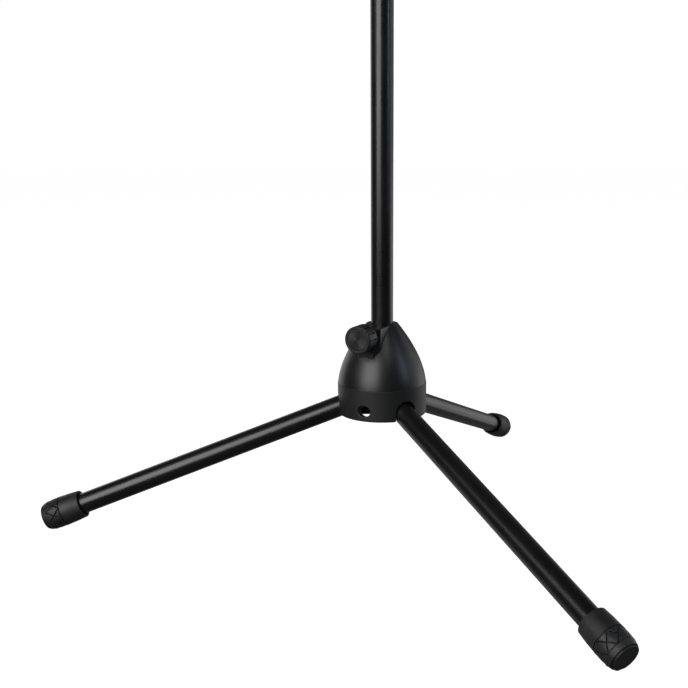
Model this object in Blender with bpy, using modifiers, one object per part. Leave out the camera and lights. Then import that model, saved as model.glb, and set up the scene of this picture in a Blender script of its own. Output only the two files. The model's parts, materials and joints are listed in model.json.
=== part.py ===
"""Trumpet stand: folding three-legged base, hub with a clamp knob, telescoping tube and bell peg.

Metres, +Z up, floor at z = 0. The clamp knob faces -Y and one leg points to +Y.
"""
import math

import bmesh
import bpy
from mathutils import Vector

# Driving dimensions
GAP = 0.0003                    # between neighbouring solids
HUB_Y = -0.07484                # hub axis, so that the whole stand is centred on the origin

TUBE_RADIUS = 0.010             # lower tube, sliding in the hub
TUBE_WALL = 0.0015
TUBE_LOW = 0.1143
TUBE_HIGH = 0.560
ROD_RADIUS = 0.0075             # upper rod, sliding in the lower tube
ROD_WALL = 0.0012
ROD_LOW = 0.440
ROD_HIGH = 0.694

HUB_RADIUS = 0.0406
RING_LOW = 0.1101
SEAM = 0.1382                   # between ring and dome
DOME_TOP = 0.1922
DOME_TOP_RADIUS = 0.0144
DOME_LOWER_HANDLE = 0.0383      # control radii of the dome's outline, at thirds of its height
DOME_UPPER_HANDLE = 0.0284
DOME_WALL = 0.0034
DOME_CAVITY_TOP = 0.176
BORE_RADIUS = 0.01035           # hub bore round the tube
BUSH_SEAT_RADIUS = 0.0119       # wider bore that holds the plastic bush

RING_WALL = 0.0036
WEB_LOW = 0.1337
SLEEVE_RADIUS = 0.0119
STOP_RADIUS = 0.0142            # ledge that the open legs rest on
STOP_TOP = 0.1143
CHEEK_INNER = 0.0099            # half the width between the cheeks of one leg
CHEEK_OUTER = 0.0129
CHEEK_LOW = 0.1111
SLOT_HALF_WIDTH = 0.0101       # leg slot in the ring's wall
SLOT_TOP = 0.1277
SPIGOT_RADIUS = 0.0367
SPIGOT_TOP = 0.1406

LEG_AZIMUTHS = {"rear": 90.0, "left": 210.0, "right": 330.0}
LEG_SLOPE = math.radians(20.95)
LEG_AXIS_HEIGHT = 0.130         # where a leg's axis would cross the hub's axis
LEG_LENGTH = 0.3342             # from there to the end of its foot
LEG_RADIUS = 0.00955
LEG_WALL = 0.0012
LEG_HEEL = 0.0066               # leg tube past its pivot
PIVOT_REACH = 0.0224
PIVOT_HEIGHT = 0.1195
BOLT_RADIUS = 0.0025
BOLT_HEAD_RADIUS = 0.00425
ACCESS_RADIUS = 0.00515         # bored hole that lets a key reach the pivot bolt

FOOT_LENGTH = 0.036
FOOT_MOUTH_RADIUS = 0.0130
FOOT_MID_RADIUS = 0.0136
FOOT_END_RADIUS = 0.0122
FOOT_END_ROUND = 0.0012
FOOT_FLOOR = 0.0065             # rubber under the leg tube's end

CLAMP_HEIGHT = 0.1846
BOSS_FRONT = 0.0313             # distance of the boss's front face from the hub axis
BOSS_SHOULDER = 0.0255
BOSS_HALF_WIDTH = 0.012
BOSS_FRONT_HALF_WIDTH = 0.007
BOSS_LOW = 0.1612
SCREW_RADIUS = 0.004
SCREW_BORE = 0.0043
KNOB_BACK = 0.0317
KNOB_FRONT = 0.0467
KNOB_RADIUS = 0.0123
KNOB_GROOVES = 12
CAP_RADIUS = 0.0093

RING_SCREW_REACH = 0.029
RING_SCREW_AZIMUTHS = (30.0, 150.0, 270.0)

CLUTCH_RADIUS = 0.016
CLUTCH_GROOVES = 12

PEG_BASE_LOW = 0.676
PEG_FLANGE_LOW = 0.702
PEG_FLANGE_TOP = 0.706
PEG_FLANGE_RADIUS = 0.031
CONE_LOW_RADIUS = 0.026
CONE_TOP = 0.880
CONE_TOP_RADIUS = 0.011
CONE_WALL = 0.0025
CONE_WEB_LOW = 0.716
CONE_WEB_TOP = 0.719
PEG_TIP_TOP = 0.890

FINE = 36                       # sides of large turned pieces
MEDIUM = 24
SMALL = 16

HEXAGON = 6


# Scene set-up and shared helpers

def clear_scene():
    for item in list(bpy.data.objects):
        bpy.data.objects.remove(item, do_unlink=True)


def new_collection(name):
    group = bpy.data.collections.new(name)
    bpy.context.scene.collection.children.link(group)
    return group


def new_material(name, colour, roughness, metallic):
    made = bpy.data.materials.new(name)
    made.use_nodes = True
    shader = made.node_tree.nodes["Principled BSDF"]
    shader.inputs["Base Color"].default_value = (*colour, 1.0)
    shader.inputs["Roughness"].default_value = roughness
    shader.inputs["Metallic"].default_value = metallic
    return made


clear_scene()
PARTS = new_collection("trumpet_stand")
CUTTERS = new_collection("cutters")
PAINT = new_material("satin_black_paint", (0.015, 0.015, 0.017), 0.35, 0.4)
CAST = new_material("black_cast_hub", (0.018, 0.018, 0.019), 0.45, 0.3)
PLASTIC = new_material("black_plastic", (0.022, 0.022, 0.022), 0.5, 0.0)
RUBBER = new_material("black_rubber", (0.025, 0.025, 0.026), 0.7, 0.0)
STEEL = new_material("zinc_steel", (0.55, 0.55, 0.56), 0.35, 1.0)
BRASS = new_material("brass", (0.75, 0.58, 0.28), 0.35, 1.0)
FELT = new_material("grey_felt", (0.06, 0.06, 0.065), 0.95, 0.0)


def empty(name, location, rotation=(0.0, 0.0, 0.0)):
    marker = bpy.data.objects.new(name, None)
    marker.empty_display_size = 0.01
    marker.location = location
    marker.rotation_euler = rotation
    PARTS.objects.link(marker)
    return marker


def add_object(name, mesh, material, frame, location=(0, 0, 0), rotation=(0, 0, 0)):
    """Place a mesh in a frame. Without a material it is a cutter."""
    item = bpy.data.objects.new(name, mesh)
    item.parent = frame
    item.location = location
    item.rotation_euler = rotation
    if material is None:
        CUTTERS.objects.link(item)
        item.hide_render = True
        item.display_type = "WIRE"
    else:
        mesh.materials.append(material)
        PARTS.objects.link(item)
    return item


def turned(name, profile, material, frame, sides=MEDIUM, **place):
    """Turn a profile of (radius, height) points, down its outer side, about the local Z axis."""
    mesh = bpy.data.meshes.new(name)
    points = [(radius, 0.0, height) for radius, height in profile]
    lines = [(i, i + 1) for i in range(len(points) - 1)]
    if profile[0][0] > 0:
        lines.append((len(points) - 1, 0))
    mesh.from_pydata(points, lines, [])
    item = add_object(name, mesh, material, frame, **place)
    screw = item.modifiers.new("Turn", "SCREW")
    screw.steps = sides
    screw.render_steps = sides
    screw.use_merge_vertices = True
    screw.merge_threshold = 0.00001
    return item


def cylinder(name, radius, low, high, material, frame, sides=MEDIUM, **place):
    """A closed cylinder, or a prism with few sides, along the local Z axis."""
    mesh = bpy.data.meshes.new(name)
    form = bmesh.new()
    bmesh.ops.create_cone(form, cap_ends=True, segments=sides, radius1=radius, radius2=radius,
                          depth=high - low)
    bmesh.ops.translate(form, verts=form.verts, vec=(0, 0, (low + high) / 2))
    form.to_mesh(mesh)
    form.free()
    return add_object(name, mesh, material, frame, **place)


def cylinder_row(name, radius, low, high, places, sides, frame):
    """Several parallel cylinders at (x, y) places, as one cutter."""
    mesh = bpy.data.meshes.new(name)
    form = bmesh.new()
    for x, y in places:
        made = bmesh.ops.create_cone(form, cap_ends=True, segments=sides, radius1=radius,
                                     radius2=radius, depth=high - low)
        bmesh.ops.translate(form, verts=made["verts"], vec=(x, y, (low + high) / 2))
    form.to_mesh(mesh)
    form.free()
    return add_object(name, mesh, None, frame)


def block(name, low, high, frame, **place):
    """A box cutter between two corners."""
    mesh = bpy.data.meshes.new(name)
    form = bmesh.new()
    bmesh.ops.create_cube(form, size=1.0)
    size = Vector(high) - Vector(low)
    bmesh.ops.scale(form, verts=form.verts, vec=size)
    bmesh.ops.translate(form, verts=form.verts, vec=(Vector(low) + Vector(high)) / 2)
    form.to_mesh(mesh)
    form.free()
    return add_object(name, mesh, None, frame, **place)


def plate(name, outline, low, high, frame, **place):
    """A flat outline of (x, y) points, filled and extruded along the local Z axis."""
    curve = bpy.data.curves.new(name, "CURVE")
    curve.dimensions = "2D"
    curve.fill_mode = "BOTH"
    curve.extrude = (high - low) / 2
    spline = curve.splines.new("POLY")
    spline.points.add(len(outline) - 1)
    for point, (x, y) in zip(spline.points, outline):
        point.co = (x, y, 0.0, 1.0)
    spline.use_cyclic_u = True
    drawn = bpy.data.objects.new(name, curve)
    CUTTERS.objects.link(drawn)
    evaluated = drawn.evaluated_get(bpy.context.evaluated_depsgraph_get())
    mesh = bpy.data.meshes.new_from_object(evaluated)
    form = bmesh.new()
    form.from_mesh(mesh)
    bmesh.ops.remove_doubles(form, verts=form.verts, dist=0.00001)
    bmesh.ops.translate(form, verts=form.verts, vec=(0, 0, (low + high) / 2))
    form.to_mesh(mesh)
    form.free()
    bpy.data.objects.remove(drawn, do_unlink=True)
    return add_object(name, mesh, None, frame, **place)


def combine(item, tool, operation):
    step = item.modifiers.new(tool.name, "BOOLEAN")
    step.operation = operation
    step.object = tool


def cut(item, tool):
    combine(item, tool, "DIFFERENCE")


def join(item, tool):
    combine(item, tool, "UNION")


def polar(radius, degrees):
    angle = math.radians(degrees)
    return radius * math.cos(angle), radius * math.sin(angle)


def circle_places(radius, count):
    return [polar(radius, 360.0 * i / count) for i in range(count)]


def rounded_rim(radius, height, size, steps=3):
    """Points that round an upper outer edge at (radius, height), from its end face to its side."""
    points = []
    for i in range(steps + 1):
        angle = math.radians(90.0 * (1 - i / steps))
        points.append((radius - size + size * math.cos(angle), height - size + size * math.sin(angle)))
    return points


# Frames

HUB_AXIS = empty("hub_axis", (0.0, HUB_Y, 0.0))
CLAMP_AXIS = empty("clamp_axis", (0.0, HUB_Y, CLAMP_HEIGHT), (math.radians(90), 0.0, 0.0))
PIVOTS = {}
for side, azimuth in LEG_AZIMUTHS.items():
    east, north = polar(PIVOT_REACH, azimuth)
    PIVOTS[side] = empty(f"pivot_{side}", (east, HUB_Y + north, PIVOT_HEIGHT),
                         (0.0, 0.0, math.radians(azimuth)))


# Hub

def dome_outline(inset, low, high, steps):
    """Dome radii as a cubic curve of height, from high down to low."""
    points = []
    for i in range(steps + 1):
        height = high + (low - high) * i / steps
        t = (height - SEAM) / (DOME_TOP - SEAM)
        radius = (HUB_RADIUS * (1 - t) ** 3 + 3 * DOME_LOWER_HANDLE * (1 - t) ** 2 * t
                  + 3 * DOME_UPPER_HANDLE * (1 - t) * t ** 2 + DOME_TOP_RADIUS * t ** 3)
        points.append((radius - inset, height))
    return points


def hub_dome():
    bottom = SEAM + GAP / 2
    outline = [(0.0, DOME_TOP)] + dome_outline(0.0, bottom, DOME_TOP, 9) + [(0.0, bottom)]
    dome = turned("hub_dome", outline, CAST, HUB_AXIS, FINE)

    boss_outline = [(BOSS_HALF_WIDTH, 0.0), (BOSS_HALF_WIDTH, -BOSS_SHOULDER),
                    (BOSS_FRONT_HALF_WIDTH, -BOSS_FRONT), (-BOSS_FRONT_HALF_WIDTH, -BOSS_FRONT),
                    (-BOSS_HALF_WIDTH, -BOSS_SHOULDER), (-BOSS_HALF_WIDTH, 0.0)]
    join(dome, plate("boss_form", boss_outline, BOSS_LOW, DOME_TOP, HUB_AXIS))

    wall_top = dome_outline(DOME_WALL, bottom, DOME_CAVITY_TOP, 4)
    sleeve = BUSH_SEAT_RADIUS + 0.0025
    below = RING_LOW
    cavity = [(sleeve, DOME_CAVITY_TOP)] + wall_top
    cavity += [(HUB_RADIUS - DOME_WALL, below), (sleeve, below)]
    cut(dome, turned("dome_cavity", cavity, None, HUB_AXIS, FINE))

    posts = [polar(RING_SCREW_REACH, azimuth) for azimuth in RING_SCREW_AZIMUTHS]
    join(dome, cylinder_row("screw_posts", 0.0045, bottom, 0.156, posts, 16, HUB_AXIS))
    cut(dome, cylinder_row("screw_holes", 0.0020, below, 0.152, posts, 12, HUB_AXIS))

    seat_top = DOME_TOP - 0.004
    bore = [(BORE_RADIUS, DOME_TOP + 0.01), (BORE_RADIUS, seat_top), (BUSH_SEAT_RADIUS, seat_top),
            (BUSH_SEAT_RADIUS, below), (0.0, below)]
    cut(dome, turned("dome_bore", [(0.0, DOME_TOP + 0.01)] + bore, None, HUB_AXIS, MEDIUM))

    insert_seat = 0.0197
    beyond = BOSS_FRONT + 0.01
    thread = [(0.0, beyond), (0.0063, beyond), (0.0063, insert_seat), (SCREW_BORE, insert_seat),
              (SCREW_BORE, 0.0), (0.0, 0.0)]
    cut(dome, turned("clamp_hole", thread, None, CLAMP_AXIS, SMALL))


def slot_outline():
    """Inverted U in the plane across a leg, open below the ring."""
    centre = SLOT_TOP - SLOT_HALF_WIDTH
    points = [(-SLOT_HALF_WIDTH, RING_LOW - 0.01)]
    steps = 10
    for i in range(steps + 1):
        angle = math.pi * (1 - i / steps)
        points.append((SLOT_HALF_WIDTH * math.cos(angle), centre + SLOT_HALF_WIDTH * math.sin(angle)))
    points.append((SLOT_HALF_WIDTH, RING_LOW - 0.01))
    return points


def cheek_pair_outline():
    """Plan of the V that carries the neighbouring sides of two legs, opening along +X."""
    reach = HUB_RADIUS - RING_WALL + 0.0012
    sine, cosine = math.sin(math.radians(60)), math.cos(math.radians(60))
    inner_apex = CHEEK_INNER / sine
    outer_apex = CHEEK_OUTER / sine
    inner_end = reach * cosine + CHEEK_INNER * sine, reach * sine - CHEEK_INNER * cosine
    outer_end = reach * cosine + CHEEK_OUTER * sine, reach * sine - CHEEK_OUTER * cosine
    half = [(inner_apex, 0.0), inner_end, outer_end, (outer_apex, 0.0)]
    mirrored = [(x, -y) for x, y in reversed(half[1:3])]
    return half + mirrored


def hub_ring():
    top = SEAM - GAP / 2
    inner = HUB_RADIUS - RING_WALL
    edge = 0.0004
    profile = [(SPIGOT_RADIUS, SPIGOT_TOP), (SPIGOT_RADIUS, top), (HUB_RADIUS, top),
               (HUB_RADIUS, RING_LOW + edge), (HUB_RADIUS - edge, RING_LOW),
               (inner + edge, RING_LOW), (inner, RING_LOW + edge), (inner, WEB_LOW),
               (SLEEVE_RADIUS, WEB_LOW), (SLEEVE_RADIUS, STOP_TOP), (STOP_RADIUS, STOP_TOP),
               (STOP_RADIUS, RING_LOW + 0.0005), (BORE_RADIUS, RING_LOW + 0.0005),
               (BORE_RADIUS, top), (SPIGOT_RADIUS - 0.002, top), (SPIGOT_RADIUS - 0.002, SPIGOT_TOP)]
    ring = turned("hub_ring", profile, CAST, HUB_AXIS, FINE)
    for azimuth in RING_SCREW_AZIMUTHS:
        cheeks = plate(f"cheeks_{azimuth:.0f}", cheek_pair_outline(), CHEEK_LOW, WEB_LOW + 0.001,
                       HUB_AXIS, rotation=(0, 0, math.radians(azimuth)))
        join(ring, cheeks)
    for side, azimuth in LEG_AZIMUTHS.items():
        upright = (math.radians(90), 0.0, math.radians(azimuth + 90))
        slot = plate(f"slot_{side}", slot_outline(), 0.030, 0.050, HUB_AXIS, rotation=upright)
        cut(ring, slot)
        across = dict(rotation=(math.radians(-90), 0, 0))
        bolt_hole = cylinder(f"bolt_hole_{side}", BOLT_RADIUS + GAP, -0.0150, 0.0150, None,
                             PIVOTS[side], 12, **across)
        cut(ring, bolt_hole)
        access = cylinder(f"access_{side}", ACCESS_RADIUS, -0.048, -0.022, None, PIVOTS[side],
                          24, **across)
        cut(ring, access)
    posts = [polar(RING_SCREW_REACH, azimuth) for azimuth in RING_SCREW_AZIMUTHS]
    cut(ring, cylinder_row("web_holes", 0.0022, WEB_LOW - 0.01, SEAM + 0.01, posts, 12, HUB_AXIS))


def tube_bush():
    low, high = SEAM + GAP, DOME_TOP - 0.0043
    profile = [(BUSH_SEAT_RADIUS - GAP, high), (BUSH_SEAT_RADIUS - GAP, low),
               (BORE_RADIUS - 0.0001, low), (BORE_RADIUS - 0.0001, high)]
    bush = turned("tube_bush", profile, PLASTIC, HUB_AXIS, MEDIUM)
    cut(bush, cylinder("bush_window", SCREW_BORE, 0.0, 0.02, None, CLAMP_AXIS, SMALL))


def ring_screws():
    for number, azimuth in enumerate(RING_SCREW_AZIMUTHS, start=1):
        east, north = polar(RING_SCREW_REACH, azimuth)
        under = WEB_LOW - GAP
        profile = [(0.0, 0.150), (0.00175, 0.150), (0.00175, under), (0.0035, under),
                   (0.0035, under - 0.0015), (0.0028, under - 0.0025), (0.0, under - 0.0025)]
        name = f"ring_screw_{number}"
        screw = turned(name, profile, STEEL, HUB_AXIS, 16, location=(east, north, 0))
        socket = cylinder(f"{name}_socket", 0.0014, under - 0.004, under - 0.0010, None, HUB_AXIS,
                          HEXAGON, location=(east, north, 0))
        cut(screw, socket)


# Clamp

def boss_insert():
    profile = [(0.0060, BOSS_FRONT - 0.0003), (0.0060, 0.0200), (SCREW_BORE, 0.0200),
               (SCREW_BORE, BOSS_FRONT - 0.0003)]
    turned("boss_insert", profile, BRASS, CLAMP_AXIS, SMALL)


def clamp_pad():
    cylinder("clamp_pad", SCREW_RADIUS - 0.0001, 0.0102, 0.0132, PLASTIC, CLAMP_AXIS, SMALL)


def clamp_screw():
    head_low, head_high, head_radius = 0.0381, 0.0435, 0.0062
    tip = 0.0135
    profile = [(0.0, head_high), (head_radius, head_high), (head_radius, head_low),
               (SCREW_RADIUS, head_low), (SCREW_RADIUS, tip + 0.001), (SCREW_RADIUS - 0.001, tip),
               (0.0, tip)]
    turned("clamp_screw", profile, STEEL, CLAMP_AXIS, SMALL)


def clamp_knob():
    rim = 0.0006
    profile = [(CAP_RADIUS + GAP, KNOB_FRONT), (KNOB_RADIUS - 0.0003 - rim, KNOB_FRONT),
               (KNOB_RADIUS - 0.0003, KNOB_FRONT - rim), (KNOB_RADIUS - 0.0003, KNOB_FRONT - 0.0035),
               (KNOB_RADIUS, KNOB_FRONT - 0.0038), (KNOB_RADIUS, KNOB_BACK + rim),
               (KNOB_RADIUS - rim, KNOB_BACK), (SCREW_BORE, KNOB_BACK), (SCREW_BORE, 0.0378),
               (0.0066, 0.0378), (0.0066, KNOB_FRONT - 0.0023), (CAP_RADIUS + GAP, KNOB_FRONT - 0.0023)]
    knob = turned("clamp_knob", profile, PLASTIC, CLAMP_AXIS, FINE)
    grooves = cylinder_row("knob_grooves", 0.0011, KNOB_BACK - 0.003, KNOB_FRONT - 0.0045,
                           circle_places(KNOB_RADIUS + 0.0003, KNOB_GROOVES), 8, CLAMP_AXIS)
    cut(knob, grooves)


def knob_cap():
    profile = [(0.0, KNOB_FRONT), (CAP_RADIUS - 0.0003, KNOB_FRONT), (CAP_RADIUS, KNOB_FRONT - 0.0003),
               (CAP_RADIUS, KNOB_FRONT - 0.0020), (0.0, KNOB_FRONT - 0.0020)]
    turned("knob_cap", profile, PLASTIC, CLAMP_AXIS, MEDIUM)


# Legs

def leg_place():
    """Axis of a leg in its pivot's frame: where it is nearest the pivot, and its turn."""
    drop = LEG_AXIS_HEIGHT - PIVOT_HEIGHT
    rise = drop * math.cos(LEG_SLOPE) - PIVOT_REACH * math.sin(LEG_SLOPE)
    location = (rise * math.sin(LEG_SLOPE), 0.0, rise * math.cos(LEG_SLOPE))
    rotation = (0.0, math.radians(90) + LEG_SLOPE, 0.0)
    return dict(location=location, rotation=rotation)


def leg_end():
    """Distance from the pivot to the foot's end face, along the leg."""
    drop = LEG_AXIS_HEIGHT - PIVOT_HEIGHT
    return LEG_LENGTH - PIVOT_REACH * math.cos(LEG_SLOPE) - drop * math.sin(LEG_SLOPE)


def pivot_bolt(side):
    seat = -CHEEK_OUTER - GAP
    profile = [(0.0, 0.0185), (BOLT_RADIUS - 0.0004, 0.0185), (BOLT_RADIUS, 0.0181),
               (BOLT_RADIUS, seat), (BOLT_HEAD_RADIUS, seat),
               (BOLT_HEAD_RADIUS, seat - 0.0045), (BOLT_HEAD_RADIUS - 0.0004, seat - 0.005),
               (0.0, seat - 0.005)]
    across = dict(rotation=(math.radians(-90), 0, 0))
    bolt = turned(f"pivot_bolt_{side}", profile, STEEL, PIVOTS[side], SMALL, **across)
    socket = cylinder(f"bolt_socket_{side}", 0.0023, seat - 0.008, seat - 0.0022, None,
                      PIVOTS[side], HEXAGON, **across)
    cut(bolt, socket)


def pivot_nut(side):
    across = dict(rotation=(math.radians(-90), 0, 0))
    low = CHEEK_OUTER + GAP
    nut = cylinder(f"pivot_nut_{side}", 0.0046, low, low + 0.004, STEEL, PIVOTS[side], HEXAGON,
                   **across)
    bore = cylinder(f"nut_bore_{side}", BOLT_RADIUS + GAP, 0.010, 0.020, None, PIVOTS[side], 16,
                    **across)
    cut(nut, bore)


def bolt_clearance(name, side):
    return cylinder(name, BOLT_RADIUS + GAP, -0.015, 0.015, None, PIVOTS[side], 16,
                    rotation=(math.radians(-90), 0, 0))


def leg_tube(side):
    far = leg_end() - FOOT_FLOOR
    inner = LEG_RADIUS - LEG_WALL
    profile = [(LEG_RADIUS, far), (LEG_RADIUS, -LEG_HEEL), (inner, -LEG_HEEL), (inner, far)]
    tube = turned(f"leg_tube_{side}", profile, PAINT, PIVOTS[side], MEDIUM, **leg_place())
    cut(tube, bolt_clearance(f"leg_hole_{side}", side))


def leg_plug(side):
    plug = cylinder(f"leg_plug_{side}", LEG_RADIUS - LEG_WALL - GAP, -LEG_HEEL + 0.0002, 0.024,
                    PLASTIC, PIVOTS[side], MEDIUM, **leg_place())
    cut(plug, bolt_clearance(f"plug_hole_{side}", side))


def rubber_foot(side):
    far = leg_end()
    near = far - FOOT_LENGTH
    middle = (near + far) / 2
    cavity = LEG_RADIUS + GAP
    cavity_end = far - FOOT_FLOOR + GAP
    profile = [(0.0, far)] + rounded_rim(FOOT_END_RADIUS, far, FOOT_END_ROUND)
    profile += [(FOOT_MID_RADIUS - 0.0005, (middle + far) / 2), (FOOT_MID_RADIUS, middle),
                (FOOT_MID_RADIUS - 0.0001, (near + middle) / 2), (FOOT_MOUTH_RADIUS, near + 0.0006),
                (FOOT_MOUTH_RADIUS - 0.0006, near), (cavity, near), (cavity, cavity_end),
                (0.0, cavity_end)]
    foot = turned(f"rubber_foot_{side}", profile, RUBBER, PIVOTS[side], MEDIUM, **leg_place())
    reach = LEG_LENGTH * math.cos(LEG_SLOPE)
    floor = block(f"floor_{side}", (reach - 0.04, -0.03, -0.02), (reach + 0.03, 0.03, 0.0), HUB_AXIS,
                  rotation=(0, 0, math.radians(LEG_AZIMUTHS[side])))
    cut(foot, floor)


# Telescoping tube, clutch and rod

def lower_tube():
    inner = TUBE_RADIUS - TUBE_WALL
    profile = [(TUBE_RADIUS, TUBE_HIGH), (TUBE_RADIUS, TUBE_LOW), (inner, TUBE_LOW), (inner, TUBE_HIGH)]
    turned("lower_tube", profile, PAINT, HUB_AXIS, FINE)


def tube_plug():
    spigot = TUBE_RADIUS - TUBE_WALL - GAP
    top, seat, low = TUBE_LOW + 0.012, TUBE_LOW - GAP, TUBE_LOW - 0.0027
    profile = [(0.0, top), (spigot - 0.0005, top), (spigot, top - 0.0008), (spigot, seat),
               (TUBE_RADIUS, seat), (TUBE_RADIUS, low + 0.0006), (TUBE_RADIUS - 0.0006, low),
               (0.0, low)]
    turned("tube_plug", profile, PLASTIC, HUB_AXIS, MEDIUM)


def clutch_body():
    over_tube, round_rod = TUBE_RADIUS + GAP, ROD_RADIUS + 0.0004
    skirt, neck, seat = 0.0135, 0.0114, 0.0100
    low, collar, cup, high = 0.528, 0.548, 0.566, 0.578
    profile = [(neck, high), (neck, collar), (skirt, collar), (skirt, low + 0.002),
               (skirt - 0.0008, low), (over_tube, low), (over_tube, TUBE_HIGH + GAP),
               (round_rod, TUBE_HIGH + GAP), (round_rod, cup), (seat, cup), (seat, high)]
    turned("clutch_body", profile, PLASTIC, HUB_AXIS, MEDIUM)


def clutch_collet():
    inner, shank, head, tip = ROD_RADIUS + GAP, 0.0097, 0.0104, 0.0089
    low, seat, high = 0.5663, 0.5783, 0.5850
    profile = [(inner, high), (tip, high), (head, seat + 0.0012), (head, seat), (shank, seat),
               (shank, low), (inner, low)]
    collet = turned("clutch_collet", profile, PLASTIC, HUB_AXIS, MEDIUM)
    slit = block("collet_slit", (0.0, -0.0006, 0.5695), (0.02, 0.0006, 0.60), HUB_AXIS,
                 rotation=(0, 0, math.radians(40)))
    cut(collet, slit)


def clutch_grip():
    rounding = 0.002
    low, high = 0.549, 0.592
    round_rod, round_neck, cone_low, cone_high = ROD_RADIUS + 0.0004, 0.0117, 0.0108, 0.0093
    thread_top = 0.5783
    profile = [(round_rod, high), (CLUTCH_RADIUS - 0.001 - rounding, high),
               (CLUTCH_RADIUS - 0.001, high - rounding), (CLUTCH_RADIUS, low + 0.004),
               (CLUTCH_RADIUS - 0.001, low), (round_neck, low), (round_neck, thread_top),
               (cone_low, thread_top), (cone_low, thread_top + 0.0015),
               (cone_high, thread_top + 0.0070), (cone_high, high - 0.005), (round_rod, high - 0.005)]
    grip = turned("clutch_grip", profile, PLASTIC, HUB_AXIS, FINE)
    grooves = cylinder_row("clutch_grooves", 0.0012, 0.5555, 0.5860,
                           circle_places(CLUTCH_RADIUS + 0.0003, CLUTCH_GROOVES), 8, HUB_AXIS)
    cut(grip, grooves)


def upper_rod():
    inner = ROD_RADIUS - ROD_WALL
    profile = [(ROD_RADIUS, ROD_HIGH), (ROD_RADIUS, ROD_LOW), (inner, ROD_LOW), (inner, ROD_HIGH)]
    turned("upper_rod", profile, PAINT, HUB_AXIS, MEDIUM)


def rod_guide():
    spigot = ROD_RADIUS - ROD_WALL - GAP
    head = TUBE_RADIUS - TUBE_WALL - GAP
    top, seat, low = ROD_LOW + 0.012, ROD_LOW - GAP, ROD_LOW - 0.012
    profile = [(0.0, top), (spigot - 0.0005, top), (spigot, top - 0.0008), (spigot, seat),
               (head, seat), (head, low + 0.001), (head - 0.001, low), (0.0, low)]
    turned("rod_guide", profile, PLASTIC, HUB_AXIS, MEDIUM)


def rod_stud():
    spigot = ROD_RADIUS - ROD_WALL - GAP
    seat = ROD_HIGH + GAP
    profile = [(0.0, 0.730), (SCREW_RADIUS - 0.0007, 0.730), (SCREW_RADIUS, 0.7292),
               (SCREW_RADIUS, seat + 0.0025), (0.0070, seat + 0.0025), (0.0070, seat),
               (spigot, seat), (spigot, ROD_HIGH - 0.024), (0.0, ROD_HIGH - 0.024)]
    turned("rod_stud", profile, STEEL, HUB_AXIS, SMALL)


# Bell peg

def peg_base():
    rod_bore = ROD_RADIUS + GAP
    stud_seat = ROD_HIGH + GAP + 0.0028
    profile = [(0.0220, PEG_FLANGE_TOP + 0.005), (0.0220, PEG_FLANGE_TOP),
               (PEG_FLANGE_RADIUS - 0.0008, PEG_FLANGE_TOP), (PEG_FLANGE_RADIUS, PEG_FLANGE_TOP - 0.0008),
               (PEG_FLANGE_RADIUS, PEG_FLANGE_LOW + 0.0010), (PEG_FLANGE_RADIUS - 0.0010, PEG_FLANGE_LOW),
               (0.0180, PEG_FLANGE_LOW - 0.0010), (0.0135, 0.6950), (0.0120, 0.6850),
               (0.0115, PEG_BASE_LOW + 0.0008), (0.0107, PEG_BASE_LOW), (rod_bore, PEG_BASE_LOW),
               (rod_bore, stud_seat), (SCREW_BORE, stud_seat), (SCREW_BORE, PEG_FLANGE_TOP + 0.001),
               (0.0190, PEG_FLANGE_TOP + 0.001), (0.0190, PEG_FLANGE_TOP + 0.005)]
    turned("peg_base", profile, PLASTIC, HUB_AXIS, FINE)


def felt_ring():
    low, high = PEG_FLANGE_TOP + GAP, PEG_FLANGE_TOP + 0.003
    inner = CONE_LOW_RADIUS + GAP
    profile = [(PEG_FLANGE_RADIUS, high), (PEG_FLANGE_RADIUS, low), (inner, low), (inner, high)]
    turned("felt_ring", profile, FELT, HUB_AXIS, FINE)


def cone_radius(height):
    """Outer radius of the peg: a straight taper with a slight belly."""
    t = (height - PEG_FLANGE_TOP) / (CONE_TOP - PEG_FLANGE_TOP)
    belly = 0.0018 * math.sin(math.pi * t)
    return CONE_LOW_RADIUS + (CONE_TOP_RADIUS - CONE_LOW_RADIUS) * t + belly


def peg_cone():
    low = PEG_FLANGE_TOP + GAP
    steps = 6
    outer = [CONE_TOP + (low - CONE_TOP) * i / steps for i in range(steps + 1)]
    inner_heights = [CONE_WEB_TOP + (CONE_TOP - CONE_WEB_TOP) * i / 4 for i in range(5)]
    profile = [(cone_radius(height), height) for height in outer]
    profile += [(cone_radius(height) - CONE_WALL, height) for height in (low, CONE_WEB_LOW)]
    profile += [(SCREW_BORE, CONE_WEB_LOW), (SCREW_BORE, CONE_WEB_TOP)]
    profile += [(cone_radius(height) - CONE_WALL, height) for height in inner_heights]
    turned("peg_cone", profile, PLASTIC, HUB_AXIS, FINE)


def peg_nut():
    low = CONE_WEB_TOP + GAP
    nut = cylinder("peg_nut", 0.0075, low, low + 0.0065, STEEL, HUB_AXIS, HEXAGON)
    cut(nut, cylinder("peg_nut_bore", SCREW_BORE, 0.70, 0.74, None, HUB_AXIS, SMALL))


def peg_tip():
    seat = CONE_TOP + GAP
    height = PEG_TIP_TOP - seat
    steps = 4
    profile = []
    for i in range(steps + 1):
        angle = math.radians(90.0 * i / steps)
        profile.append((CONE_TOP_RADIUS * math.sin(angle), seat + height * math.cos(angle)))
    spigot = CONE_TOP_RADIUS - CONE_WALL - GAP
    profile += [(spigot, seat), (spigot - 0.0003, CONE_TOP - 0.011), (0.0, CONE_TOP - 0.011)]
    turned("peg_tip", profile, RUBBER, HUB_AXIS, MEDIUM)


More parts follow.
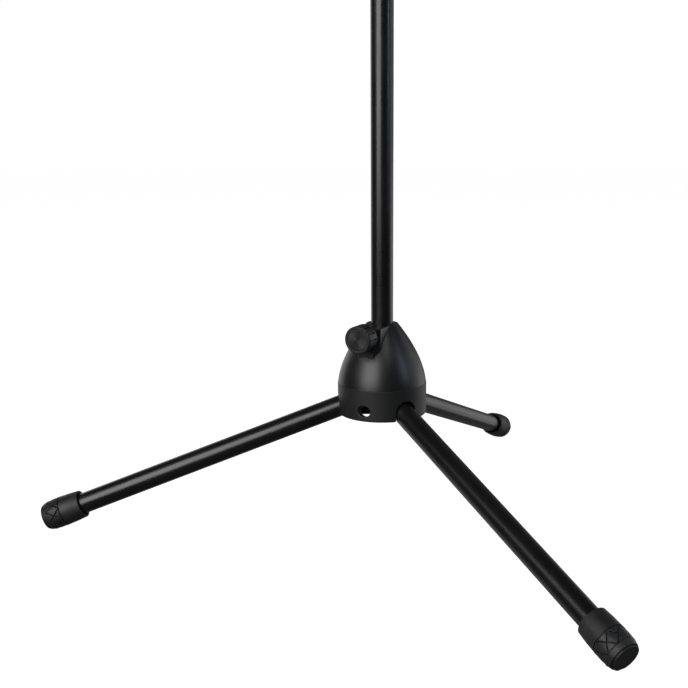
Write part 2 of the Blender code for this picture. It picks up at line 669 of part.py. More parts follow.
def apply_and_shade():
    """Bake each part's modifiers and shade its round faces smooth."""
    bpy.context.view_layer.update()
    graph = bpy.context.evaluated_depsgraph_get()
    solids = [item for item in PARTS.objects if item.type == "MESH"]
    baked = {item: bpy.data.meshes.new_from_object(item.evaluated_get(graph)) for item in solids}
    for item, mesh in baked.items():
        item.modifiers.clear()
        item.data = mesh
        mesh.shade_smooth()
        mesh.set_sharp_from_angle(angle=math.radians(35))


def build():
    hub_dome()
    hub_ring()
    tube_bush()
    ring_screws()
    boss_insert()
    clamp_pad()
    clamp_screw()
    clamp_knob()
    knob_cap()
    for side in LEG_AZIMUTHS:
        pivot_bolt(side)
        pivot_nut(side)
        leg_tube(side)
        leg_plug(side)
        rubber_foot(side)
    lower_tube()
    tube_plug()
    clutch_body()
    clutch_collet()
    clutch_grip()
    upper_rod()
    rod_guide()
    rod_stud()
    peg_base()
    felt_ring()
    peg_cone()
    peg_nut()
    peg_tip()
    apply_and_shade()


build()
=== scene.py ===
"""Looks of the folding trumpet stand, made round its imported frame.

Metres, +Z up. Turned pieces are modelled along their own Z axis and placed on the frame's axes.
"""
import json
import math

import bmesh
import bpy
import numpy as np
from mathutils import Matrix, Vector, noise
from mathutils.geometry import delaunay_2d_cdt

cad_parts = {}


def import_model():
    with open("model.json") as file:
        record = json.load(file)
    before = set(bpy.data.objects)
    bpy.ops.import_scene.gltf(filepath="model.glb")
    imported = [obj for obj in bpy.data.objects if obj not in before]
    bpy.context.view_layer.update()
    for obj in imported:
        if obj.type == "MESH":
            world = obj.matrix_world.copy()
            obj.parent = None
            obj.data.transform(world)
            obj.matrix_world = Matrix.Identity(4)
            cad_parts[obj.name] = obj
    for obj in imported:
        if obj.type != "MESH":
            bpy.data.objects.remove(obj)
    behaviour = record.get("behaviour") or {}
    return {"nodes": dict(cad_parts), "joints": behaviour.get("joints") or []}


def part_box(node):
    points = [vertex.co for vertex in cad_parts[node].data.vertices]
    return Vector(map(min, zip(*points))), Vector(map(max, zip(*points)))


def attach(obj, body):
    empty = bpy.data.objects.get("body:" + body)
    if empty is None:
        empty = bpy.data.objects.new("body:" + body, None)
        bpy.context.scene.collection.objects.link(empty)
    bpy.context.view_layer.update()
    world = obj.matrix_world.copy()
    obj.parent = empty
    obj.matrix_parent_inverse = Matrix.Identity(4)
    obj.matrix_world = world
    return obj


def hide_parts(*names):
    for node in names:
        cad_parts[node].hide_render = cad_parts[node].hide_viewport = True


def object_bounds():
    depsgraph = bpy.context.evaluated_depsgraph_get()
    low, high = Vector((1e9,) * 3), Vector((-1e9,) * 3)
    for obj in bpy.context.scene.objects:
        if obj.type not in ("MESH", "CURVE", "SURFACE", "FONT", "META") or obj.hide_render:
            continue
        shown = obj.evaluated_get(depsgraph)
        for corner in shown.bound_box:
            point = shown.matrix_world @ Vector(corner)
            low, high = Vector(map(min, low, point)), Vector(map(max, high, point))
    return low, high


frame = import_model()

CAD_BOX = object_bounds()
NODES = frame["nodes"]
JOINTS = {joint["name"]: joint for joint in frame["joints"]}
LEG_SIDES = ("rear", "left", "right")

# Places read from the frame
KNOB_AXIS_POINT = Vector(JOINTS["knob_turn"]["pos_m"])
HUB = Vector((KNOB_AXIS_POINT.x, KNOB_AXIS_POINT.y, 0.0))
RING_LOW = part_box("hub_ring")[0].z
DOME_LOW, DOME_TOP = (corner.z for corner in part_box("hub_dome"))

# Design sizes that the frame's boxes don't give
CLEARANCE = 0.0003
SEAM_SHADOW = 0.00002
SEAM_STEP = 0.00030
HUB_RADIUS = 0.0406
RING_WALL = 0.0036
DOME_TOP_RADIUS = 0.0144
DOME_LOWER_HANDLE = 0.0383
DOME_UPPER_HANDLE = 0.0284
DOME_WALL = 0.0034
DOME_CAVITY_TOP = 0.176
BORE_RADIUS = 0.01035
BUSH_SEAT_RADIUS = 0.0119
BOSS_FRONT = 0.0313
BOSS_SHOULDER = 0.0255
BOSS_HALF_WIDTH = 0.012
BOSS_FRONT_HALF_WIDTH = 0.007
BOSS_LOW = 0.1612
SLOT_HALF_WIDTH = 0.0101
CHEEK_INNER = 0.0099
CHEEK_OUTER = 0.0129
SLOT_TOP = 0.1277
WEB_LOW = 0.1337
STOP_RADIUS = 0.0142
STOP_TOP = 0.1143
PIVOT_REACH = 0.0224
PIVOT_HEIGHT = JOINTS["rear_leg_fold"]["pos_m"][2]
BOLT_RADIUS = 0.0025
ACCESS_RADIUS = 0.00515
RING_SCREW_REACH = 0.029
RING_SCREW_AZIMUTHS = (30.0, 150.0, 270.0)
KNOB_GROOVES = 12
KNOB_PHASE = 0.5
KNOB_HEAD_SEAT = 0.0378
M8_BORE = 0.0043
LEG_RADIUS = 0.00955
LEG_WALL = 0.0012
FOOT_LENGTH = 0.036
FOOT_FLOOR = 0.0065
FOOT_DIAMONDS = 8
FOOT_TWIST = math.radians(-13.5)
FOOT_HOLE_ANGLE = math.radians(102)
CLUTCH_FLUTES = 12
FLUTE_HALF_WIDTH = 0.0019
FLUTE_DEPTH = 0.0011
CONE_LOW_RADIUS = 0.026
CONE_TOP_RADIUS = 0.011
CONE_WALL = 0.0025

SIDES = 160


# Mesh helpers

def polar(radius, angle, height=0.0):
    return Vector((radius * math.cos(angle), radius * math.sin(angle), height))


def rounded(corners, edge=0.0003, closed=False, steps=4):
    """Profile points with rounded corners. A corner is (radius, height) or (radius, height, fillet)."""
    points = []
    count = len(corners)
    for i, corner in enumerate(corners):
        here = Vector(corner[:2])
        fillet = corner[2] if len(corner) > 2 else edge
        if fillet == 0 or (not closed and i in (0, count - 1)):
            points.append(here)
            continue
        back = Vector(corners[i - 1][:2]) - here
        ahead = Vector(corners[(i + 1) % count][:2]) - here
        half = back.angle(ahead) / 2
        if half > 1.5:
            points.append(here)
            continue
        reach = min(fillet / math.tan(half), 0.48 * min(back.length, ahead.length))
        size = reach * math.tan(half)
        towards = (back.normalized() + ahead.normalized()).normalized()
        centre = here + towards * size / math.sin(half)
        start = here + back.normalized() * reach - centre
        stop = here + ahead.normalized() * reach - centre
        first = math.atan2(start.y, start.x)
        sweep = math.atan2(start.cross(stop), start.dot(stop))
        for k in range(steps + 1):
            angle = first + sweep * k / steps
            points.append(centre + Vector((math.cos(angle), math.sin(angle))) * size)
    return points


def divided(points, spacing, closed=False):
    """Profile points with more between them. spacing(point, after) gives their distance, or None."""
    made = []
    for point, after in zip(points, points[1:] + (points[:1] if closed else [])):
        step = spacing(point, after)
        parts = max(1, math.ceil((after - point).length / step)) if step else 1
        made += [point.lerp(after, k / parts) for k in range(parts)]
    return made if closed else made + points[-1:]


def turned_form(points, sides=SIDES, closed=False, shape=None):
    """Bmesh of profile points turned about Z. shape(angle, radius, height) gives a vertex's place."""
    form = bmesh.new()
    rings = []
    for radius, height in points:
        if radius < 1e-7:
            rings.append([form.verts.new((0.0, 0.0, height))])
            continue
        ring = []
        for k in range(sides):
            angle = 2 * math.pi * k / sides
            reach, level = (radius, height) if shape is None else shape(angle, radius, height)
            ring.append(form.verts.new(polar(reach, angle, level)))
        rings.append(ring)
    pairs = list(zip(rings, rings[1:]))
    if closed:
        pairs.append((rings[-1], rings[0]))
    for one, other in pairs:
        join_rings(form, one, other)
    bmesh.ops.recalc_face_normals(form, faces=form.faces)
    return form


def join_rings(form, one, other):
    """Faces between two rings of vertices, either of which may be a single point."""
    count = max(len(one), len(other))
    for k in range(count if count > 1 else 0):
        after = (k + 1) % count
        if len(one) == 1:
            form.faces.new((one[0], other[k], other[after]))
        elif len(other) == 1:
            form.faces.new((one[k], other[0], one[after]))
        else:
            form.faces.new((one[k], other[k], other[after], one[after]))


def new_object(name, form, place=Matrix.Identity(4)):
    mesh = bpy.data.meshes.new(name)
    form.to_mesh(mesh)
    form.free()
    item = bpy.data.objects.new(name, mesh)
    item.matrix_world = place
    bpy.context.scene.collection.objects.link(item)
    return item


def smooth(item, angle=35, weighted=True):
    item.data.shade_smooth()
    item.data.set_sharp_from_angle(angle=math.radians(angle))
    if weighted:
        step = item.modifiers.new("Even shading", "WEIGHTED_NORMAL")
        step.keep_sharp = True
    return item


def turned(name, corners, place, edge=0.0003, closed=False, sides=SIDES, shape=None, spacing=None):
    """A profile's corners, rounded by edge, divided by spacing and turned about Z."""
    points = rounded(corners, edge, closed)
    if spacing:
        points = divided(points, spacing, closed)
    return new_object(name, turned_form(points, sides, closed, shape), place)


def prism(name, outline, low, high, place, edge=0.0):
    """A flat outline extruded along Z, its edges rounded by edge."""
    form = bmesh.new()
    base = form.faces.new([form.verts.new((x, y, low)) for x, y in outline])
    made = bmesh.ops.extrude_face_region(form, geom=[base])
    lifted = [v for v in made["geom"] if isinstance(v, bmesh.types.BMVert)]
    bmesh.ops.translate(form, verts=lifted, vec=(0.0, 0.0, high - low))
    bmesh.ops.recalc_face_normals(form, faces=form.faces)
    if edge:
        bmesh.ops.bevel(form, geom=list(form.edges), offset=edge, segments=4, profile=0.5,
                        affect="EDGES", clamp_overlap=True)
    return new_object(name, form, place)


def drill(name, radius, low, high, place):
    """A plain cylinder along Z, for cutting a hole."""
    points = [(0.0, low), (radius, low), (radius, high), (0.0, high)]
    return new_object(name, turned_form(points, 48), place)


def carve(item, operation, *tools):
    """Cut tools from item, or join them to it, and remove them."""
    for tool in tools:
        step = item.modifiers.new(tool.name, "BOOLEAN")
        step.operation = operation
        step.solver = "EXACT"
        step.object = tool
    bpy.context.view_layer.update()
    graph = bpy.context.evaluated_depsgraph_get()
    result = bpy.data.meshes.new_from_object(item.evaluated_get(graph))
    item.modifiers.clear()
    item.data = result
    for tool in tools:
        bpy.data.objects.remove(tool, do_unlink=True)
    return item


def finish_piece(item, body, slot, surface, *nodes):
    """Give a finished piece its material, the body it moves with and the CAD nodes it stands for."""
    item.data.materials.clear()
    item.data.materials.append(surface)
    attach(item, body)
    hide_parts(*nodes)
    return item


# Places

def axis_place(point, direction, side=Vector((0.0, 0.0, 1.0))):
    """Matrix whose Z runs along direction and whose X leans towards side."""
    z = Vector(direction).normalized()
    x = side - side.dot(z) * z
    if x.length < 1e-6:
        x = Vector((1.0, 0.0, 0.0))
    x.normalize()
    y = z.cross(x)
    turn = Matrix((x, y, z)).transposed().to_4x4()
    return Matrix.Translation(point) @ turn


def hub_place(azimuth=0.0):
    """Place on the floor under the hub's axis, turned by azimuth."""
    return Matrix.Translation(HUB) @ Matrix.Rotation(azimuth, 4, "Z")


def round_box(node):
    """Radius, low corner and high corner of an upright round node."""
    low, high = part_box(node)
    return (high.x - low.x) / 2, low, high


def long_axis(node):
    """Middles of a straight tube's two ends, from the points of its end rings."""
    points = np.array([vertex.co[:] for vertex in NODES[node].data.vertices])
    middle = points.mean(axis=0)
    direction = np.linalg.svd(points - middle, full_matrices=False)[2][0]
    for depth in (0.001, 0.0002, 0.00005):
        along = (points - middle) @ direction
        low = points[along < along.min() + depth].mean(axis=0)
        high = points[along > along.max() - depth].mean(axis=0)
        direction = (high - low) / np.linalg.norm(high - low)
    return Vector(low), Vector(high)


def leg_frame(side):
    """Place of a leg at its tube's inner end, Z towards the foot, and the tube's length."""
    ends = sorted(long_axis(f"leg_tube_{side}"), key=lambda point: -point.z)
    direction = ends[1] - ends[0]
    return axis_place(ends[0], direction), direction.length


def leg_azimuth(side):
    """Compass angle of a leg about the hub, from its pivot."""
    pivot = Vector(JOINTS[f"{side}_leg_fold"]["pos_m"]) - HUB
    return math.atan2(pivot.y, pivot.x)


def bolt_place(side):
    """Place at a leg's pivot, Z along the bolt from its head to its nut."""
    across = polar(1.0, leg_azimuth(side) + math.pi / 2)
    return axis_place(Vector(JOINTS[f"{side}_leg_fold"]["pos_m"]), across)


def bolt_drill(side):
    return drill("bolt_hole", BOLT_RADIUS + CLEARANCE, -0.015, 0.015, bolt_place(side))


KNOB_PLACE = axis_place(Vector((HUB.x, HUB.y, KNOB_AXIS_POINT.z)), (0.0, -1.0, 0.0))


# Materials

def link(tree, source, target):
    tree.links.new(source, target)


def set_sockets(node, sockets):
    for socket, value in sockets.items():
        node.inputs[socket.replace("_", " ")].default_value = value


def add(tree, kind, **sockets):
    """A shader node, with the uniform values set on its own sockets."""
    made = tree.nodes.new("ShaderNode" + kind)
    set_sockets(made, sockets)
    return made


def coordinates(tree, stretch=(1.0, 1.0, 1.0)):
    """Object coordinates, scaled along each axis."""
    scaled = add(tree, "Mapping", Scale=stretch)
    link(tree, add(tree, "TexCoord").outputs["Object"], scaled.inputs["Vector"])
    return scaled.outputs["Vector"]


def grain_noise(tree, vector, size, detail=2.0, rough=0.5):
    """Noise whose features are about size metres across."""
    made = add(tree, "TexNoise", Scale=1.0 / size, Detail=detail, Roughness=rough)
    link(tree, vector, made.inputs["Vector"])
    return made.outputs["Fac"]


def mapped(tree, value, low, high, start=0.0, stop=1.0):
    """Value moved from start..stop to low..high."""
    made = add(tree, "MapRange", From_Min=start, From_Max=stop, To_Min=low, To_Max=high)
    link(tree, value, made.inputs["Value"])
    return made.outputs["Result"]


def blended(tree, factor, first, second):
    """Colour between first and second."""
    made = add(tree, "Mix")
    made.data_type = "RGBA"
    set_sockets(made, {"A": (*first, 1.0), "B": (*second, 1.0)})
    link(tree, factor, made.inputs["Factor"])
    return made.outputs["Result"]


def bump(tree, height, depth, before=None):
    """Bump of depth metres, on top of an earlier one."""
    made = add(tree, "Bump", Distance=depth, Strength=1.0)
    link(tree, height, made.inputs["Height"])
    if before is not None:
        link(tree, before, made.inputs["Normal"])
    return made.outputs["Normal"]


def new_surface(name, **sockets):
    """A material, its tree and its shader, with the uniform values set on the shader's own sockets."""
    made = bpy.data.materials.new(name)
    made.use_nodes = True
    shader = made.node_tree.nodes["Principled BSDF"]
    set_sockets(shader, sockets)
    return made, made.node_tree, shader


def tint(tree, shader, value, start, stop, dark, light):
    """Base colour that goes from dark to light as value goes from start to stop."""
    link(tree, blended(tree, mapped(tree, value, 0.0, 1.0, start, stop), dark, light),
         shader.inputs["Base Color"])


def roughen(tree, shader, value, rough):
    """Roughness from the lowest to the highest of rough, as value varies."""
    link(tree, mapped(tree, value, *rough, 0.3, 0.7), shader.inputs["Roughness"])


def coated(name, dark, light, rough, peel, grain, **sockets):
    """Paint: rough is its (lowest, highest) roughness, peel and grain the (size, depth) of its relief."""
    made, tree, shader = new_surface(name, **sockets)
    place = coordinates(tree)
    patches = grain_noise(tree, place, 0.035, 3.0)
    specks = grain_noise(tree, place, 0.0011, 3.0, 0.6)
    tint(tree, shader, patches, 0.3, 0.7, dark, light)
    mixed = add(tree, "Math")
    mixed.operation = "MULTIPLY_ADD"
    mixed.inputs[1].default_value = 0.35
    link(tree, specks, mixed.inputs[0])
    link(tree, mapped(tree, patches, 0.0, 0.65, 0.25, 0.75), mixed.inputs[2])
    link(tree, mapped(tree, mixed.outputs["Value"], *rough), shader.inputs["Roughness"])
    relief = bump(tree, grain_noise(tree, place, peel[0], 1.0), peel[1])
    relief = bump(tree, grain_noise(tree, place, grain[0], 2.0), grain[1], relief)
    link(tree, relief, shader.inputs["Normal"])
    return made


def moulded(name, dark, light, rough, grain, flow=None, **sockets):
    """Moulded plastic or rubber: even fine grain, with faint paler patches."""
    made, tree, shader = new_surface(name, **sockets)
    place = coordinates(tree)
    patches = grain_noise(tree, place, 0.009, 4.0, 0.6)
    tint(tree, shader, patches, 0.35, 0.75, dark, light)
    roughen(tree, shader, patches, rough)
    relief = bump(tree, grain_noise(tree, place, grain[0], 3.0, 0.6), grain[1])
    if flow:
        relief = bump(tree, grain_noise(tree, place, flow[0], 2.0), flow[1], relief)
    link(tree, relief, shader.inputs["Normal"])
    return made


def turned_face(name, dark, light, rough, pitch, depth, **sockets):
    """A face with fine turning marks round the piece's own axis."""
    made, tree, shader = new_surface(name, **sockets)
    place = coordinates(tree)
    marks = add(tree, "TexWave", Scale=math.pi / (10 * pitch), Distortion=0.6, Detail=2.0,
                Detail_Scale=1.5)
    marks.wave_type = "RINGS"
    marks.rings_direction = "Z"
    link(tree, place, marks.inputs["Vector"])
    link(tree, blended(tree, marks.outputs["Fac"], dark, light), shader.inputs["Base Color"])
    roughen(tree, shader, grain_noise(tree, place, 0.004, 3.0), rough)
    relief = bump(tree, marks.outputs["Fac"], depth)
    relief = bump(tree, grain_noise(tree, place, 0.0003, 2.0), depth, relief)
    link(tree, relief, shader.inputs["Normal"])
    turn = add(tree, "Tangent")
    turn.direction_type = "RADIAL"
    turn.axis = "Z"
    link(tree, turn.outputs["Tangent"], shader.inputs["Tangent"])
    return made


def felted(name, dark, light):
    """Felt: fine fibres with softer tufts, and a sheen at its edges."""
    made, tree, shader = new_surface(name, Sheen_Weight=0.6, Sheen_Roughness=0.5, Specular_IOR_Level=0.2)
    fibres = grain_noise(tree, coordinates(tree, (1.0, 1.0, 3.0)), 0.0009, 6.0, 0.75)
    tufts = grain_noise(tree, coordinates(tree), 0.0035, 3.0)
    tint(tree, shader, fibres, 0.3, 0.7, dark, light)
    roughen(tree, shader, tufts, (0.85, 1.0))
    relief = bump(tree, fibres, 0.0004)
    link(tree, bump(tree, tufts, 0.0003, relief), shader.inputs["Normal"])
    return made


def plated(name, dark, light, rough):
    """Zinc-plated steel or brass, with faint draw marks along its axis."""
    made, tree, shader = new_surface(name, Metallic=1.0)
    lines = grain_noise(tree, coordinates(tree, (1.0, 1.0, 0.15)), 0.0004, 4.0, 0.6)
    stains = grain_noise(tree, coordinates(tree), 0.004, 3.0)
    tint(tree, shader, stains, 0.3, 0.7, dark, light)
    roughen(tree, shader, lines, rough)
    link(tree, bump(tree, lines, 0.00001), shader.inputs["Normal"])
    return made


PAINT = coated("satin_black_paint", (0.0050, 0.0051, 0.0055), (0.0070, 0.0070, 0.0075),
               (0.23, 0.35), (0.0009, 0.0000022), (0.00022, 0.0000010))
CAST = coated("painted_casting", (0.0045, 0.0045, 0.0047), (0.0065, 0.0065, 0.0067),
              (0.32, 0.44), (0.0011, 0.000010), (0.00032, 0.0000110))
RING_CAST = coated("matt_casting", (0.0065, 0.0065, 0.0067), (0.0095, 0.0095, 0.0098),
                   (0.46, 0.58), (0.0010, 0.000014), (0.00030, 0.0000130))
PLASTIC = moulded("moulded_plastic", (0.0080, 0.0080, 0.0082), (0.0120, 0.0120, 0.0122),
                  (0.40, 0.52), (0.00025, 0.0000060))
CAP = turned_face("knob_face", (0.0110, 0.0110, 0.0112), (0.0170, 0.0170, 0.0172),
                  (0.34, 0.46), 0.00036, 0.000008, Anisotropic=0.6)
RUBBER = moulded("foot_rubber", (0.0075, 0.0075, 0.0076), (0.0150, 0.0149, 0.0146),
                 (0.46, 0.62), (0.00022, 0.000016), (0.0016, 0.000020))
ZINC = plated("zinc_plate", (0.46, 0.46, 0.48), (0.62, 0.62, 0.63), (0.26, 0.42))
BRASS = plated("turned_brass", (0.60, 0.43, 0.19), (0.76, 0.58, 0.28), (0.22, 0.38))
FELT = felted("grey_felt", (0.022, 0.022, 0.024), (0.075, 0.075, 0.080))


# Hub dome

def dome_side(inset, low, high, steps):
    """Dome radii as a cubic curve of height, from high down to low."""
    base = DOME_LOW - SEAM_SHADOW
    points = []
    for i in range(steps + 1):
        height = high + (low - high) * i / steps
        t = (height - base) / (DOME_TOP - base)
        radius = ((HUB_RADIUS - SEAM_STEP) * (1 - t) ** 3 + 3 * DOME_LOWER_HANDLE * (1 - t) ** 2 * t
                  + 3 * DOME_UPPER_HANDLE * (1 - t) * t ** 2 + DOME_TOP_RADIUS * t ** 3)
        points.append((radius - inset, height))
    return points


def with_fillet(corner, fillet):
    return corner[0], corner[1], fillet


def dome():
    side = dome_side(0.0, DOME_LOW, DOME_TOP, 40)
    outer = [(0.0, DOME_TOP), with_fillet(side[0], 0.0007)]
    outer += [with_fillet(point, 0.0) for point in side[2:-2]]
    outer += [with_fillet(side[-1], 0.00005), (0.0, DOME_LOW)]
    body = turned("dome_casting", outer, hub_place())

    boss_outline = [(BOSS_HALF_WIDTH, -0.005), (-BOSS_HALF_WIDTH, -0.005),
                    (-BOSS_HALF_WIDTH, -BOSS_SHOULDER), (-BOSS_FRONT_HALF_WIDTH, -BOSS_FRONT),
                    (BOSS_FRONT_HALF_WIDTH, -BOSS_FRONT), (BOSS_HALF_WIDTH, -BOSS_SHOULDER)]
    boss = prism("boss", boss_outline, BOSS_LOW, DOME_TOP, hub_place(), edge=0.0006)
    carve(body, "UNION", boss)

    below = DOME_LOW - 0.01
    wall = dome_side(DOME_WALL, DOME_LOW, DOME_CAVITY_TOP, 12)
    sleeve = BUSH_SEAT_RADIUS + 0.0025
    cavity = [(sleeve, DOME_CAVITY_TOP)] + wall + [(HUB_RADIUS - DOME_WALL, below), (sleeve, below)]
    chamfer = 0.0004
    above = DOME_TOP + 0.01
    seat_top = DOME_TOP - 0.004
    bore = [(0.0, above), (BORE_RADIUS + chamfer + 0.01, above), (BORE_RADIUS, DOME_TOP - chamfer),
            (BORE_RADIUS, seat_top), (BUSH_SEAT_RADIUS, seat_top), (BUSH_SEAT_RADIUS, below),
            (0.0, below)]
    beyond = BOSS_FRONT + 0.01
    insert_radius, insert_end = 0.0063, 0.0197
    thread = [(0.0, beyond), (insert_radius, beyond), (insert_radius, insert_end),
              (M8_BORE, insert_end), (M8_BORE, 0.0), (0.0, 0.0)]
    carve(body, "DIFFERENCE", turned("cavity", cavity, hub_place(), 0.0, True),
          turned("bore", bore, hub_place(), 0.0), turned("thread", thread, KNOB_PLACE, 0.0, sides=48))
    return finish_piece(smooth(body, 32), "hub", "hub_cast", CAST, "hub_dome")


# Hub ring

def wall_loop(rims, edge):
    """Strips over one rim of the ring's wall. rims pairs each outer point with its inner one, the wall
    lying to the left as seen from outside. Gives the outer skin's edge, the inner one's and all rows."""
    count = len(rims)
    rows = []
    for i, (outer, inner) in enumerate(rims):
        through = (inner - outer).normalized()
        leave = []
        for k in (0, 1):
            along = (rims[(i + 1) % count][k] - rims[i - 1][k]).normalized()
            out = Vector((rims[i][k].x, rims[i][k].y, 0.0)).normalized()
            leave.append(out.cross(along).normalized())
        row = []
        for t in (0.0, 0.25, 0.5, 0.75, 1.0):
            row.append(outer + leave[0] * edge * (1 - t) ** 2 + through * edge * t ** 2)
        for t in (1.0, 0.5, 0.0):
            row.append(inner + leave[1] * edge * (1 - t) ** 2 - through * edge * t ** 2)
        for k in (0, -1):
            radius = rims[i][k].to_2d().length
            flat = row[k].to_2d().normalized() * radius
            row[k] = Vector((flat.x, flat.y, row[k].z))
        rows.append(row)
    return rows


def skin(form, loops, radius, spacing=0.0012):
    """Fill a cylinder's surface between closed loops of vertices, of which the first two go round it."""
    start = math.atan2(loops[0][0].co.y, loops[0][0].co.x)
    lowest = min(v.co.z for loop in loops for v in loop)
    highest = max(v.co.z for loop in loops for v in loop)

    def unrolled(vertex):
        turn = (math.atan2(vertex.co.y, vertex.co.x) - start) % (2 * math.pi)
        return turn * radius, vertex.co.z

    lap = 2 * math.pi * radius
    vertices, places, edges, rings = [], [], [], []
    for number, loop in enumerate(loops):
        first = len(places)
        if number == 1:
            loop = sorted(loop, key=lambda vertex: unrolled(vertex)[0])
        spots = [unrolled(vertex) for vertex in loop]
        span = len(loop)
        if number < 2:
            if spots[0][0] > 1e-5:
                raise ValueError("the two rims don't start at the same turn")
            spots[0] = (0.0, spots[0][1])
            spots.append((lap, spots[0][1]))
            loop = loop + loop[:1]
        places += spots
        vertices += loop
        edges += [(first + i, first + (i + 1) % len(spots)) for i in range(span)]
        rings.append((first, len(spots)))
    edges.append((rings[0][0], rings[1][0]))
    edges.append((rings[0][0] + rings[0][1] - 1, rings[1][0] + rings[1][1] - 1))
    outline = places[rings[0][0]:rings[0][0] + rings[0][1]]
    outline += places[rings[1][0]:rings[1][0] + rings[1][1]][::-1]
    closed = [outline] + [places[f:f + n] for f, n in rings[2:]]

    def inside(spots):
        odd = np.zeros(len(spots), bool)
        for path in closed:
            path = np.array(path)
            for (x0, y0), (x1, y1) in zip(path, np.roll(path, -1, axis=0)):
                if y0 == y1:
                    continue
                crosses = (y0 > spots[:, 1]) != (y1 > spots[:, 1])
                meets = (x1 - x0) * (spots[:, 1] - y0) / (y1 - y0) + x0
                odd ^= crosses & (spots[:, 0] < meets)
        return odd

    across = max(3, round(lap / spacing))
    up = max(3, round((highest - lowest) / spacing))
    grid = np.array([(lap * (i + 0.5) / across, lowest + (highest - lowest) * (j + 0.5) / up)
                     for i in range(across) for j in range(up)])
    grid = grid[inside(grid)]
    edge_points = np.array(places)
    far = [np.min(np.hypot(*(edge_points - spot).T)) > 0.5 * spacing for spot in grid]
    grid = grid[np.array(far)]
    places += [tuple(spot) for spot in grid]
    for x, z in grid:
        turn = start + x / radius
        vertices.append(form.verts.new(polar(radius, turn, z)))
    spots, _, faces, sources, _, _ = delaunay_2d_cdt([Vector(p) for p in places], edges, [], 0, 1e-9)
    middles = np.array([sum((spots[i] for i in face), Vector((0.0, 0.0))) / 3 for face in faces])
    for face, wanted in zip(faces, inside(middles)):
        if wanted:
            corners = [vertices[sources[i][0]] for i in face]
            if len(set(corners)) == 3 and not form.faces.get(corners):
                form.faces.new(corners)


def slot_path():
    """Points (sideways, height) of one leg slot, up its clockwise side and down the other."""
    centre = SLOT_TOP - SLOT_HALF_WIDTH
    corner = 0.0008
    low = RING_LOW
    points = []
    for k in range(5):
        angle = math.radians(90.0 * (1 - k / 4))
        points.append((-SLOT_HALF_WIDTH - corner + corner * math.cos(angle), low + corner
                       - corner * math.sin(angle)))
    points += [(-SLOT_HALF_WIDTH, low + (centre - low) * k / 4) for k in (1, 2, 3)]
    for k in range(25):
        angle = math.pi * (1 - k / 24)
        points.append((SLOT_HALF_WIDTH * math.cos(angle), centre + SLOT_HALF_WIDTH * math.sin(angle)))
    return points + [(-x, z) for x, z in reversed(points[:8])]


def ring_wall():
    """The ring's wall with three leg slots and three key holes, every edge rounded."""
    radii = (HUB_RADIUS, HUB_RADIUS - RING_WALL)
    edge = 0.0004
    top = DOME_LOW - SEAM_SHADOW
    bottom_rim, holes = [], []
    azimuths = sorted(leg_azimuth(side) % (2 * math.pi) for side in LEG_SIDES)

    def on_wall(azimuth, sideways, height):
        """Outer and inner point, sideways of the line from the axis towards azimuth."""
        return [polar(radius, azimuth + math.asin(sideways / radius), height) for radius in radii]

    for number, azimuth in enumerate(azimuths):
        path = slot_path()
        bottom_rim += [on_wall(azimuth, x, z) for x, z in path]
        onward = azimuths[(number + 1) % 3] + (2 * math.pi if number == 2 else 0.0)
        limit = [math.asin(-path[0][0] / radius) for radius in radii]
        for k in range(1, 40):
            turns = [azimuth + past + (onward - azimuth - 2 * past) * k / 40 for past in limit]
            bottom_rim.append([polar(radius, turn, RING_LOW) for radius, turn in zip(radii, turns)])
        hole = []
        for k in range(48):
            angle = -2 * math.pi * k / 48
            hole.append(on_wall(azimuth - math.pi / 2, PIVOT_REACH + ACCESS_RADIUS * math.cos(angle),
                                PIVOT_HEIGHT + ACCESS_RADIUS * math.sin(angle)))
        holes.append(hole)
    # The seam of the unrolled wall runs where no slot and no key hole meets it
    clear_of_holes = len(slot_path()) + 9
    bottom_rim = bottom_rim[clear_of_holes:] + bottom_rim[:clear_of_holes]
    begin = [math.atan2(point.y, point.x) for point in bottom_rim[0]]
    top_rim = []
    for k in range(200):
        turn = -2 * math.pi * k / 200
        top_rim.append([polar(radius, turn + a, top) for radius, a in zip(radii, begin)])

    form = bmesh.new()
    outer_loops, inner_loops = [], []
    for rims in [bottom_rim, top_rim] + holes:
        rows = [[form.verts.new(point) for point in row] for row in wall_loop(rims, edge)]
        for i, row in enumerate(rows):
            after = rows[(i + 1) % len(rows)]
            for k in range(len(row) - 1):
                form.faces.new((row[k], row[k + 1], after[k + 1], after[k]))
        outer_loops.append([row[0] for row in rows])
        inner_loops.append([row[-1] for row in rows])
    skin(form, outer_loops, radii[0])
    skin(form, inner_loops, radii[1], 0.002)
    bmesh.ops.recalc_face_normals(form, faces=form.faces)
    return new_object("ring_casting", form, hub_place())


def cheek_pair():
    """Plan of the V that carries the neighbouring sides of two legs, opening along +X."""
    reach = HUB_RADIUS - RING_WALL + 0.0012
    sine, cosine = math.sin(math.radians(60)), math.cos(math.radians(60))
    half = [(CHEEK_INNER / sine, 0.0)]
    half += [(reach * cosine + width * sine, reach * sine - width * cosine)
             for width in (CHEEK_INNER, CHEEK_OUTER)]
    half += [(CHEEK_OUTER / sine, 0.0)]
    return half + [(x, -y) for x, y in reversed(half[1:3])]


